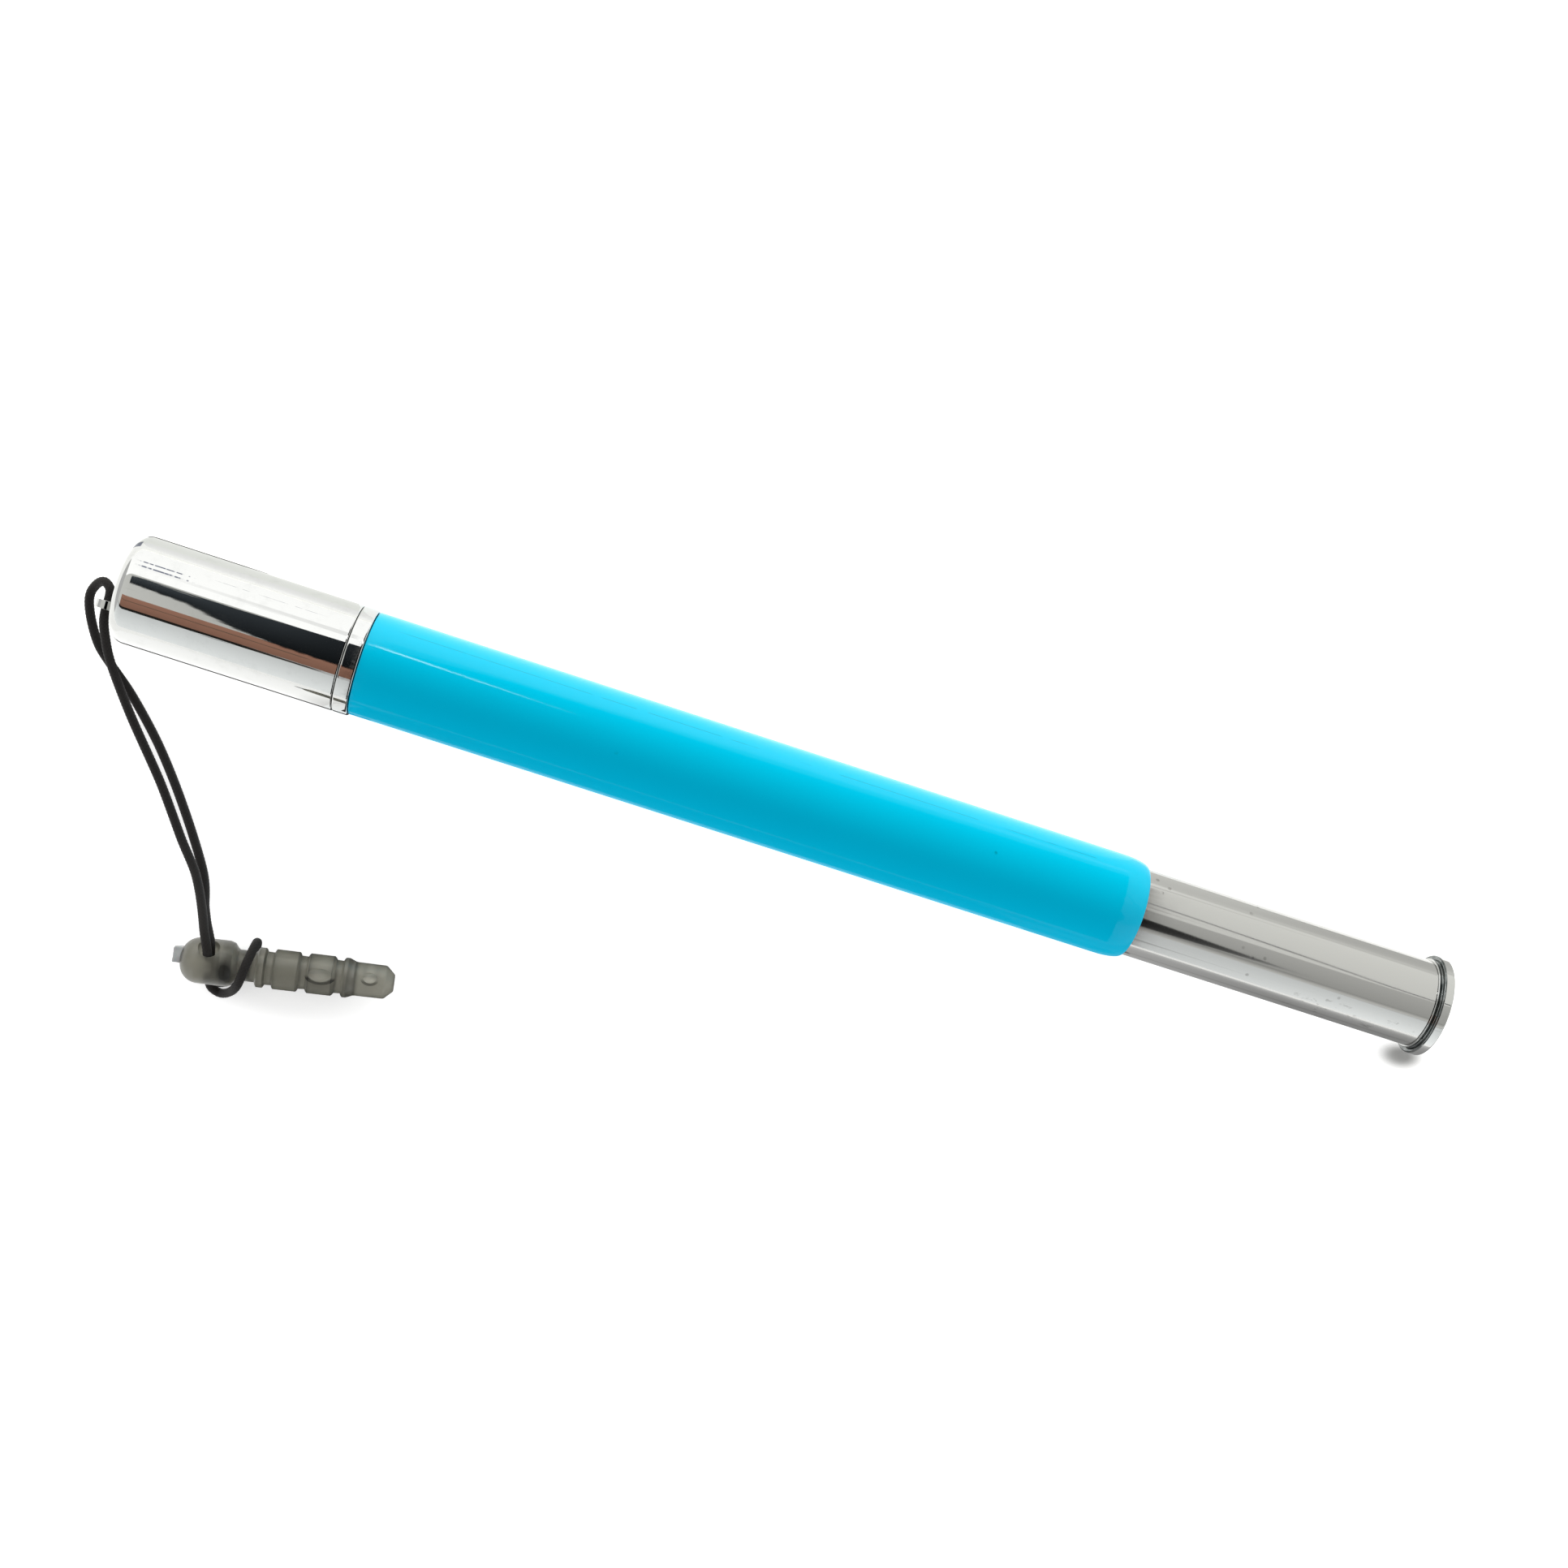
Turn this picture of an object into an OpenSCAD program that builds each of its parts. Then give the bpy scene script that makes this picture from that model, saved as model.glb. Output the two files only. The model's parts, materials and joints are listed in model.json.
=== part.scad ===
// Telescopic touch-screen stylus with a pull-off cap and a tethered earphone-socket plug.
// It lies on a flat surface with its axis along X: the cap is at -X and the sliding tube at +X.

/* [Barrel] */
// Outside diameter of the painted barrel
barrel_d = 8.94; // [8.8:0.02:9]
// Length of the painted barrel
barrel_len = 69.0; // [60:1:80]
// Wall thickness of the barrel
barrel_wall = 0.4; // [0.35:0.05:0.4]
// Length over which the barrel's nose is rounded
nose_len = 2.2; // [1.5:0.1:3]

/* [Cap] */
// Outside diameter of the chromed cap and of the ring behind it
cap_d = 9.26; // [9.26:0.02:9.6]
// Length of the cap
cap_len = 19.1; // [19:0.1:22]
// Width of the chromed ring between cap and barrel
ring_len = 1.3; // [1:0.1:2]
// Radius of the cap's closed corner
cap_corner_r = 1.2; // [0.8:0.1:1.5]

/* [Sliding tube] */
// Outside diameter of the sliding tube
tube_d = 7.8; // [7.6:0.1:7.8]
// Length of tube that shows when it is pulled out
tube_out = 26.9; // [15:0.1:40]
// Diameter of the end plug's rim
rim_d = 8.94; // [8.4:0.02:8.94]
// Thickness of the end plug, cove and rim together
rim_len = 1.3; // [1:0.1:2]

/* [Tip] */
// Diameter of the conductive rubber tip
tip_d = 7.0; // [6.4:0.1:7]
// Length of the rubber tip in front of its holder
tip_len = 5.6; // [5.2:0.1:5.8]

/* [Eyelet] */
// How far the eyelet stands out of the cap's end
eyelet_out = 1.9; // [1.9:0.1:2.2]
// Distance of the eyelet from the pen's axis
eyelet_offset = 2.0; // [1.5:0.1:2.3]

/* [Socket plug] */
// Diameter of the plug's shaft, which goes into a 3.5 mm socket
shaft_d = 3.4; // [3.3:0.05:3.5]
// Diameter of the plug's rounded head
head_d = 3.9; // [3.8:0.1:4.2]
// Diameter of the cross hole that the cord goes through
head_hole_d = 1.8; // [1.75:0.05:1.9]

/* [Cord] */
// Diameter of the braided cord
cord_d = 0.8; // [0.7:0.05:0.8]

/* [Hidden] */
$fn = 72;
eps = 0.01;
fit = 0.02;              // gap between pieces that are pressed together
run = 0.05;              // gap between pieces that slide or turn

chrome = [0.86, 0.87, 0.88];
nickel = [0.73, 0.73, 0.70];
brass = [0.78, 0.64, 0.34];
paint = [0.02, 0.66, 0.84];
nylon = [0.88, 0.87, 0.82];
rubber = [0.07, 0.07, 0.07];
smoke = [0.36, 0.36, 0.33, 0.75];

// Places along X
total_len = eyelet_out + cap_len + ring_len + 2 * run + barrel_len + tube_out + rim_len;
x_end = total_len / 2;
x_rim = x_end - rim_len;
x_mouth = x_rim - tube_out;
x_barrel = x_mouth - barrel_len;
x_ring = x_barrel - run - ring_len;
x_cap_mouth = x_ring - run;
x_cap_end = x_cap_mouth - cap_len;
axis_z = cap_d / 2;

// Radii
barrel_r = barrel_d / 2;
bore_r = barrel_r - barrel_wall;
tube_r = tube_d / 2;
tube_wall = 0.4;
tube_bore_r = tube_r - tube_wall;
cap_r = cap_d / 2;
cap_wall = 0.4;
cap_end_wall = 0.6;
liner_r = cap_r - cap_wall - fit;
liner_bore_r = 3.75;
spigot_r = 3.65;
groove_r = 2.8;          // floor of the grip ring's groove
core_r = 1.6;            // bore for the tip's core
foot_r = 2.25;           // hole in the rubber tip's foot
seat_r = spigot_r - 1.0; // bore of the ferrule and of its seat
journal_r = 2.6;
clip_r = journal_r - 0.5; // floor of the retaining clip's groove
shank_r = 0.5;           // of the eyelet's rivet

// Inside lengths
insert_len = 10;         // of the cap spigot in the barrel
spigot_len = 6.2;        // of the cap spigot in front of the trim ring
mouth_land = 2.0;        // of the barrel's narrowed mouth
sleeve_len = 7.0;        // of the friction sleeve on the tube's inner end
end_play = 0.1;          // of the friction sleeve, at each end
clip_len = 0.5;          // width of the retaining clip's groove
plug_in = 5.0;           // how far each plug goes into the sliding tube
x_sleeve = x_mouth - mouth_land - end_play - sleeve_len;
x_tube = x_sleeve + sleeve_len + end_play;
x_clip = x_sleeve - end_play;
x_tip = x_ring - spigot_len;
x_groove = x_ring - 3.2; // middle of the grip ring's groove
groove_len = 1.1;

// Socket plug: place of its cross hole, and how it lies
plug_at = [-42.4, -28.1, 2.34];
plug_yaw = 10;
plug_pitch = 3.3;

// Cord: the line that it follows, from the eyelet to the plug, round its neck and back
route = [
    [-58.9, -2.1, 4.6], [-58.8, -3.3, 4.4], [-58.3, -4.9, 3.7], [-57.4, -6.8, 2.8],
    [-54.9, -10.6, 0.95], [-51.2, -15.0, 0.44], [-48.0, -19.1, 0.65], [-45.9, -21.4, 1.45],
    [-44.4, -23.6, 2.8], [-43.3, -25.5, 4.1], [-42.6, -26.9, 4.2], [-42.4, -28.0, 3.05],
    [-42.2, -29.3, 1.7], [-41.8, -30.3, 1.1], [-40.8, -30.6, 1.1], [-39.9, -30.0, 2.1],
    [-39.4, -29.0, 3.4], [-39.2, -27.5, 4.1], [-39.1, -26.0, 3.4], [-39.1, -25.4, 2.1],
    [-39.2, -26.2, 0.8], [-39.5, -27.8, 0.45], [-40.2, -29.2, 0.4], [-41.3, -29.9, 0.4],
    [-42.1, -29.5, 0.55], [-42.3, -28.8, 1.05], [-42.5, -27.3, 2.55], [-42.7, -26.2, 3.4],
    [-43.5, -25.0, 2.7], [-44.3, -23.7, 1.6], [-45.4, -21.3, 0.55], [-48.6, -16.6, 0.43],
    [-52.3, -12.0, 0.43], [-56.0, -8.3, 0.8], [-59.1, -5.5, 2.0], [-60.7, -2.4, 2.9],
    [-60.6, -0.9, 3.5], [-59.8, -0.2, 4.3], [-59.0, -0.7, 4.7], [-58.9, -1.9, 4.6]];
cord_sides = 8;
long_step = 1.7;         // a longer stretch of the route gets a ring at its middle

// A solid turned about the pen's axis: each point is [place along X, radius]
module turned(points) {
    translate([0, 0, axis_z])
        rotate([0, 90, 0])
            rotate_extrude() polygon([for (p = points) [p[1], p[0]]]);
}

// A ring or tube about the pen's axis
module tube_x(x0, x1, r_out, r_in) {
    turned([[x0, r_in], [x1, r_in], [x1, r_out], [x0, r_out]]);
}

// Points of a quarter ellipse from [x0, r0] to [x1, r1], leaving along X
function quarter(x0, r0, x1, r1, steps) =
    [for (i = [0 : steps]) [x0 + (x1 - x0) * sin(90 * i / steps), r1 + (r0 - r1) * cos(90 * i / steps)]];

module barrel_shell() {
    edge = 0.1;
    lip = 0.06;
    mouth_r = tube_r + run;
    color(paint)
        turned(concat(
            [[x_barrel, bore_r], [x_barrel, barrel_r - edge], [x_barrel + edge, barrel_r]],
            quarter(x_mouth - nose_len, barrel_r, x_mouth, mouth_r + lip, 8),
            [[x_mouth, mouth_r], [x_mouth - mouth_land, mouth_r],
             [x_mouth - mouth_land, bore_r]]));
}

module trim_ring() {
    edge = 0.12;
    color(chrome)
        turned([[x_ring, spigot_r + fit], [x_ring, cap_r - edge], [x_ring + edge, cap_r],
                [x_ring + ring_len - edge, cap_r], [x_ring + ring_len, cap_r - edge],
                [x_ring + ring_len, spigot_r + fit]]);
}

module cap_spigot() {
    seat_len = 0.9;
    edge = 0.15;
    insert_r = bore_r - fit;
    color(nickel)
        turned([[x_tip, core_r], [x_tip, seat_r], [x_tip + seat_len, seat_r],
                [x_tip + seat_len, spigot_r - edge], [x_tip + seat_len + edge, spigot_r],
                [x_groove - groove_len / 2, spigot_r], [x_groove - groove_len / 2, groove_r],
                [x_groove + groove_len / 2, groove_r], [x_groove + groove_len / 2, spigot_r],
                [x_barrel, spigot_r], [x_barrel, insert_r],
                [x_barrel + insert_len, insert_r], [x_barrel + insert_len, core_r]]);
}

module grip_o_ring() {
    wire_r = 0.43;
    color(rubber)
        translate([x_groove, 0, axis_z])
            rotate([0, 90, 0])
                rotate_extrude() translate([groove_r + wire_r + 0.04, 0]) circle(r = wire_r, $fn = 24);
}

module tip_ferrule() {
    color(chrome)
        tube_x(x_tip + 0.05, x_tip + 0.8, spigot_r - 0.1, seat_r + fit);
}

module tip_core() {
    nose = 3.4;
    post = 5.0;
    color(nylon)
        turned([[x_tip - nose, 0], [x_tip - nose, 1.2], [x_tip - nose + 0.4, 1.7],
                [x_tip - run, foot_r - run], [x_tip - run, core_r - fit],
                [x_tip + post, core_r - fit], [x_tip + post, 0]]);
}

module rubber_tip() {
    tip_r = tip_d / 2;
    wall = 0.7;
    color(rubber)
        turned(concat(
            [[x_tip, foot_r], [x_tip, tip_r]],
            [for (i = [0 : 12]) [x_tip - tip_len + tip_r - tip_r * sin(90 * i / 12), tip_r * cos(90 * i / 12)]],
            [for (i = [12 : -1 : 0]) [x_tip - tip_len + tip_r - (tip_r - wall) * sin(90 * i / 12),
                                      (tip_r - wall) * cos(90 * i / 12)]],
            [[x_tip - 0.4, tip_r - wall]]));
}

// A curved strip at one side of the friction sleeve, or with a gap all round, the pocket that holds it
module side_strip(turn, r0, r1, gap) {
    strip_len = 4.0;
    half_angle = 18 + gap * 180 / (PI * r0);
    translate([x_sleeve + (sleeve_len - strip_len) / 2 - gap, 0, axis_z])
        rotate([turn - half_angle, 0, 0])
            rotate([0, 90, 0])
                rotate_extrude(angle = 2 * half_angle)
                    translate([r0, 0]) square([r1 - r0, strip_len + 2 * gap]);
}

module spring_strip(turn) {
    color(brass) side_strip(turn, bore_r - 0.25, bore_r - run, 0);
}

module friction_sleeve() {
    slit = 0.6;
    color(nylon)
        difference() {
            tube_x(x_sleeve, x_sleeve + sleeve_len, bore_r - run, journal_r + run);
            translate([x_sleeve - eps, -slit / 2, axis_z - barrel_r])
                cube([sleeve_len + 2 * eps, slit, barrel_r]);
            for (turn = [90, 270])
                side_strip(turn, bore_r - 0.3, bore_r + 0.1, 0.1);
        }
}

module tail_plug() {
    edge = 0.2;
    x_inner = x_clip - 1.0;
    color(brass)
        turned([[x_inner, 0], [x_inner, journal_r - edge], [x_inner + edge, journal_r],
                [x_clip - clip_len, journal_r], [x_clip - clip_len, clip_r],
                [x_clip, clip_r], [x_clip, journal_r], [x_tube, journal_r],
                [x_tube, tube_bore_r - fit], [x_tube + plug_in, tube_bore_r - fit],
                [x_tube + plug_in, 0]]);
}

module retaining_clip() {
    mouth = 1.8;
    clip_out_r = 3.6;
    color(nickel)
        difference() {
            tube_x(x_clip - clip_len + run, x_clip - run, clip_out_r, clip_r + fit);
            translate([x_clip - clip_len, -mouth / 2, axis_z - clip_out_r - eps])
                cube([clip_len, mouth, clip_out_r]);
        }
}

module inner_tube() {
    edge = 0.2;
    color(nickel)
        turned([[x_tube, tube_bore_r], [x_rim - fit, tube_bore_r], [x_rim - fit, tube_r],
                [x_tube + edge, tube_r], [x_tube, tube_r - edge]]);
}

module end_plug() {
    rim_r = rim_d / 2;
    bead = 0.2;
    cove = 0.3;
    edge = 0.15;
    color(chrome)
        turned(concat(
            [[x_rim - plug_in, 0], [x_rim - plug_in, tube_bore_r - fit], [x_rim, tube_bore_r - fit],
             [x_rim, tube_r + bead], [x_rim + cove, tube_r + run]],
            [[x_rim + cove, rim_r - edge], [x_rim + cove + edge, rim_r], [x_end - edge, rim_r],
             [x_end, rim_r - edge], [x_end, 0]]));
}

module cap_shell() {
    r_in = cap_r - cap_wall;
    corner_in = cap_corner_r - cap_wall;
    edge = 0.1;
    x_floor = x_cap_end + cap_end_wall;
    color(chrome)
        difference() {
            turned(concat(
                [[x_cap_end, 0]],
                [for (i = [0 : 6]) [x_cap_end + cap_corner_r * (1 - cos(15 * i)),
                                    cap_r - cap_corner_r + cap_corner_r * sin(15 * i)]],
                [[x_cap_mouth - edge, cap_r], [x_cap_mouth, cap_r - edge], [x_cap_mouth, r_in]],
                [for (i = [6 : -1 : 0]) [x_floor + corner_in * (1 - cos(15 * i)),
                                         r_in - corner_in + corner_in * sin(15 * i)]],
                [[x_floor, 0]]));
            translate([x_cap_end - eps, -eyelet_offset, axis_z])
                rotate([0, 90, 0]) cylinder(r = shank_r + fit, h = cap_end_wall + 2 * eps, $fn = 32);
        }
}

module cap_liner() {
    x0 = x_cap_end + cap_end_wall + cap_corner_r;
    color(nylon)
        tube_x(x0, x_cap_mouth - 0.4, liner_r, liner_bore_r);
}

module eyelet() {
    thick = 0.7;
    hole_r = 0.55;
    hole_x = -1.0;
    rivet_head_r = 0.8;
    out_r = eyelet_out + hole_x;
    color(chrome)
        translate([x_cap_end, -eyelet_offset, axis_z]) {
            difference() {
                union() {
                    translate([hole_x, 0, 0])
                        rotate([90, 0, 0]) cylinder(r = out_r, h = thick, center = true, $fn = 48);
                    translate([hole_x, -thick / 2, -out_r]) cube([-hole_x - fit, thick, 2 * out_r]);
                }
                translate([hole_x, 0, 0])
                    rotate([90, 0, 0]) cylinder(r = hole_r, h = thick + 1, center = true, $fn = 48);
            }
            translate([-0.3, 0, 0]) rotate([0, 90, 0]) cylinder(r = shank_r, h = 1.3, $fn = 32);
            translate([0.95, 0, 0]) rotate([0, 90, 0]) cylinder(r = rivet_head_r, h = 0.3, $fn = 32);
        }
}

module eyelet_washer() {
    washer_r = 1.2;
    thick = 0.3;
    color(brass)
        translate([x_cap_end + cap_end_wall + 0.02, -eyelet_offset, axis_z])
            rotate([0, 90, 0])
                difference() {
                    cylinder(r = washer_r, h = thick, $fn = 48);
                    translate([0, 0, -eps]) cylinder(r = shank_r + fit, h = thick + 2 * eps, $fn = 32);
                }
}

// The plug's outline from the middle of its cross hole: [place along the shaft, radius]
function plug_outline() =
    let (head_r = head_d / 2, r = shaft_d / 2, groove_r = r - 0.3, tip_r = 1.45)
    concat(
        [for (i = [0 : 6]) [-2.35 + 1.6 * (1 - cos(15 * i)), head_r - 1.6 + 1.6 * sin(15 * i)]],
        [[1.7, head_r], [2.1, head_r - 0.15], [2.3, head_r - 0.5], [2.45, 1.3],
         [3.95, 1.3], [4.05, r], [4.65, r],
         [4.75, groove_r], [5.35, groove_r], [5.45, r], [7.45, r],
         [7.55, groove_r], [8.2, groove_r], [8.3, r], [10.4, r],
         [10.55, groove_r], [11.2, groove_r], [11.3, r], [11.65, r], [12.25, tip_r],
         [14.75, tip_r], [15.55, 0.75]]);

module dust_plug() {
    outline = plug_outline();
    last = len(outline) - 1;
    color(smoke)
        translate(plug_at)
            rotate([0, plug_pitch, plug_yaw])
                difference() {
                    union() {
                        rotate([0, 90, 0])
                            rotate_extrude()
                                polygon(concat([[0, outline[0][0]]],
                                               [for (p = outline) [p[1], p[0]]],
                                               [[0, outline[last][0]]]));
                        translate([-3.0, -0.4, -0.5]) cube([1.2, 1.4, 1.0]);
                    }
                    rotate([-45, 0, 0]) cylinder(d = head_hole_d, h = 2 * head_d, center = true, $fn = 48);
                }
}

// Smooth line through the route: each stretch between two points is halved on a cubic
function route_at(i) = route[max(0, min(len(route) - 1, i))];
function halfway(i) =
    (9 * (route_at(i) + route_at(i + 1)) - route_at(i - 1) - route_at(i + 2)) / 16;
function cord_line() =
    [for (i = [0 : len(route) - 1]) for (half = [0, 1])
        if (!(half == 1 && (i == len(route) - 1 || norm(route_at(i + 1) - route_at(i)) < long_step)))
            half == 0 ? route[i] : halfway(i)];

function unit(v) = v / norm(v);

// Sideways directions carried along the line without twist
function carried(line, i, side) =
    let (t = unit(line[min(i + 1, len(line) - 1)] - line[max(i - 1, 0)]))
    unit(side - (side * t) * t);
function sides_along(line) =
    [for (i = 0, s = carried(line, 0, [0, 0, 1]); i < len(line);
          i = i + 1, s = i < len(line) ? carried(line, i, s) : s) s];

module cord() {
    line = cord_line();
    side = sides_along(line);
    n = len(line);
    rings = [for (i = [0 : n - 1])
        let (t = unit(line[min(i + 1, n - 1)] - line[max(i - 1, 0)]), up = cross(t, side[i]))
        for (k = [0 : cord_sides - 1])
            let (a = 360 * k / cord_sides)
            line[i] + cord_d / 2 * (cos(a) * side[i] + sin(a) * up)];
    skin = [for (i = [0 : n - 2]) for (k = [0 : cord_sides - 1])
        let (j = (k + 1) % cord_sides)
        [i * cord_sides + k, (i + 1) * cord_sides + k, (i + 1) * cord_sides + j, i * cord_sides + j]];
    ends = [[for (k = [0 : cord_sides - 1]) k],
            [for (k = [cord_sides - 1 : -1 : 0]) (n - 1) * cord_sides + k]];
    color("black")
        polyhedron(points = rings, faces = concat(skin, ends), convexity = 10);
}

barrel_shell();
trim_ring();
cap_spigot();
tip_ferrule();
tip_core();
rubber_tip();
grip_o_ring();
friction_sleeve();
spring_strip(90);  // spring_strip_1
spring_strip(270);  // spring_strip_2
tail_plug();
retaining_clip();
inner_tube();
end_plug();
cap_shell();
cap_liner();
eyelet();
eyelet_washer();
cord();
dust_plug();
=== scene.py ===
import json
import math

import bpy
import numpy as np
from mathutils import Matrix, Vector


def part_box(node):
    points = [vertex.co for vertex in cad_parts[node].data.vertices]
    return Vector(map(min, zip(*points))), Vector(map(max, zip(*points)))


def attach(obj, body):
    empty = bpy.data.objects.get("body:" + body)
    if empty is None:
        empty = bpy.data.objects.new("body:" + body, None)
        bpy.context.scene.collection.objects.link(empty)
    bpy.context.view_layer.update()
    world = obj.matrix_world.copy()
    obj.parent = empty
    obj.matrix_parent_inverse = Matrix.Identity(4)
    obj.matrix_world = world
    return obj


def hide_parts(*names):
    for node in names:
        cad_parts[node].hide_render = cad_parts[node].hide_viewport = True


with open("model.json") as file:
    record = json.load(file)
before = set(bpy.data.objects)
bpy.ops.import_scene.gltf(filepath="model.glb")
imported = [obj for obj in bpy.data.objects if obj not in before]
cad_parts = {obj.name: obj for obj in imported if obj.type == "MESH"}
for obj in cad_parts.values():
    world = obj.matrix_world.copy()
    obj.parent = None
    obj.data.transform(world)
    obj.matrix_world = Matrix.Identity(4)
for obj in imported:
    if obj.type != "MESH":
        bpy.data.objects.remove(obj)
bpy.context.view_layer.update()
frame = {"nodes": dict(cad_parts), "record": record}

# Looks of a telescopic touch-screen stylus: a painted barrel, a chromed pull-off cap, a nickel
# pull-out tube, and a smoky socket plug on a braided cord. All lengths are in metres.

MM = 0.001
SIDES = 128                 # faces round a turned piece
FINE_RELIEF = 0.02 * MM     # depth of the bump in a fine surface
X, Y, Z = 0, 1, 2           # parts of a coordinate


def node_size(node):
    """Where a turned CAD node starts and ends along X, and its radius."""
    low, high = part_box(node)
    return low.x, high.x, (high.y - low.y) / 2


BARREL_X0, BARREL_X1, BARREL_R = node_size("barrel_shell")
CAP_X0, CAP_X1, CAP_R = node_size("cap_shell")
RING_X0, RING_X1, RING_R = node_size("trim_ring")
TUBE_X0, TUBE_X1, TUBE_R = node_size("inner_tube")
RIM_X0, RIM_X1, RIM_R = node_size("end_plug")
TIP_X0, TIP_X1, TIP_R = node_size("rubber_tip")
AXIS_Z = (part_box("cap_shell")[0].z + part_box("cap_shell")[1].z) / 2


# ---------------------------------------------------------------- camera

def add_camera():
    """Looks down on the pen, which lies slanting across the view."""
    tilt = math.radians(5.36)
    roll = math.radians(17.92)
    distance = 0.175
    aim = Matrix.Translation((-0.72 * MM, 1.17 * MM, AXIS_Z))
    data = bpy.data.cameras.new("camera")
    data.sensor_width = 36
    data.lens = 47.0
    data.clip_start = 0.005
    camera = bpy.data.objects.new("camera", data)
    bpy.context.scene.collection.objects.link(camera)
    turn = Matrix.Rotation(-tilt, 4, "Y") @ Matrix.Rotation(roll, 4, "Z")
    camera.matrix_world = aim @ turn @ Matrix.Translation((0, 0, distance))
    bpy.context.scene.camera = camera


# ---------------------------------------------------------------- cord

CORD_D = 0.8 * MM
# The line of the cord in millimetres: out of the eyelet, down onto the surface, up through the
# plug's cross hole, round its neck, back through the hole and home beside itself.
CORD_ROUTE = [
    (-58.9, -2.1, 4.6), (-58.8, -3.3, 4.4), (-58.3, -4.9, 3.7), (-57.4, -6.8, 2.8),
    (-54.9, -10.6, 0.95), (-51.2, -15.0, 0.44), (-48.0, -19.1, 0.65), (-45.9, -21.4, 1.45),
    (-44.4, -23.6, 2.8), (-43.3, -25.5, 4.1), (-42.6, -26.9, 4.2), (-42.4, -28.0, 3.05),
    (-42.2, -29.3, 1.7), (-41.8, -30.3, 1.1), (-40.8, -30.6, 1.1), (-39.9, -30.0, 2.1),
    (-39.4, -29.0, 3.4), (-39.2, -27.5, 4.1), (-39.1, -26.0, 3.4), (-39.1, -25.4, 2.1),
    (-39.2, -26.2, 0.8), (-39.5, -27.8, 0.45), (-40.2, -29.2, 0.4), (-41.3, -29.9, 0.4),
    (-42.1, -29.5, 0.55), (-42.3, -28.8, 1.05), (-42.5, -27.3, 2.55), (-42.7, -26.2, 3.4),
    (-43.5, -25.0, 2.7), (-44.3, -23.7, 1.6), (-45.4, -21.3, 0.55), (-48.6, -16.6, 0.43),
    (-52.3, -12.0, 0.43), (-56.0, -8.3, 0.8), (-59.1, -5.5, 2.0), (-60.7, -2.4, 2.9),
    (-60.6, -0.9, 3.5), (-59.8, -0.2, 4.3), (-59.0, -0.7, 4.7), (-58.9, -1.9, 4.6)]


def smooth_line(points, step):
    """The points joined by a smooth curve, and points along it a step apart."""
    line = np.array(points, float) * MM
    for _ in range(4):
        ends = np.vstack([line[:1], line, line[-1:]])
        middle = (9 * (ends[1:-2] + ends[2:-1]) - ends[:-3] - ends[3:]) / 16
        joined = np.empty((len(line) + len(middle), 3))
        joined[0::2], joined[1::2] = line, middle
        line = joined
    line[:, 2] = np.maximum(line[:, 2], CORD_D / 2)
    along = np.concatenate([[0], np.cumsum(np.linalg.norm(np.diff(line, axis=0), axis=1))])
    at = np.linspace(0, along[-1], round(along[-1] / step) + 1)
    return np.stack([np.interp(at, along, line[:, k]) for k in range(3)], axis=1), at


def carried_sides(line):
    """Two sideways directions at each point of a line, carried along it without twist."""
    ahead = np.gradient(line, axis=0)
    ahead /= np.linalg.norm(ahead, axis=1)[:, None]
    side = np.empty_like(ahead)
    side[0] = np.cross(ahead[0], (1.0, 0.0, 0.0))
    for i, t in enumerate(ahead):
        last = side[max(i - 1, 0)]
        side[i] = last - last.dot(t) * t
        side[i] /= np.linalg.norm(side[i])
    return side, np.cross(ahead, side)


def braid_height(turn, along):
    """Relief of a round plait, 0 to 1: two sets of strands that pass over and under by turns."""
    carriers = 8
    pitch = 0.31 * MM
    a = carriers * turn + along / pitch
    b = carriers * turn - along / pitch
    strand_a, strand_b = np.round(a), np.round(b)
    over_a = 0.5 + 0.5 * np.cos(math.pi * (b + strand_a))
    over_b = 0.5 - 0.5 * np.cos(math.pi * (a + strand_b))
    round_a = np.sqrt(np.maximum(1 - (1.9 * (a - strand_a)) ** 2, 0))
    round_b = np.sqrt(np.maximum(1 - (1.9 * (b - strand_b)) ** 2, 0))
    return np.maximum(round_a * (0.35 + 0.65 * over_a), round_b * (0.35 + 0.65 * over_b))


def make_cord():
    """One closed tube with the plait's strands in its surface, and a map of turn and length."""
    sides = 32
    relief = 0.055 * MM
    line, along = smooth_line(CORD_ROUTE, 0.06 * MM)
    side, up = carried_sides(line)
    turn = np.arange(sides) / sides
    height = braid_height(turn[None, :], along[:, None])
    radius = CORD_D / 2 - relief * (1 - height)
    angle = 2 * math.pi * turn
    ring = (np.cos(angle)[None, :, None] * side[:, None, :]
            + np.sin(angle)[None, :, None] * up[:, None, :])
    points = (line[:, None, :] + radius[:, :, None] * ring).reshape(-1, 3)
    n = len(line)
    faces = [(i * sides + k, i * sides + (k + 1) % sides,
              (i + 1) * sides + (k + 1) % sides, (i + 1) * sides + k)
             for i in range(n - 1) for k in range(sides)]
    faces.append(tuple(range(sides - 1, -1, -1)))
    faces.append(tuple((n - 1) * sides + k for k in range(sides)))
    mesh = bpy.data.meshes.new("braided_cord")
    mesh.from_pydata(points.tolist(), [], faces)
    mesh.shade_smooth()
    weave = mesh.attributes.new("weave", "FLOAT_VECTOR", "CORNER")
    places = []
    for face in mesh.polygons:
        rings = [v // sides for v in face.vertices]
        steps = [v % sides for v in face.vertices]
        wrap = max(steps) - min(steps) > 1 and len(steps) == 4
        for r, k in zip(rings, steps):
            places += [1.0 if wrap and k == 0 else k / sides, along[r] / CORD_D, height[r, k]]
    weave.data.foreach_set("vector", places)
    cord = bpy.data.objects.new("braided_cord", mesh)
    bpy.context.scene.collection.objects.link(cord)
    return cord, line, float(along[-1])


# ---------------------------------------------------------------- modelling helpers

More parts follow.
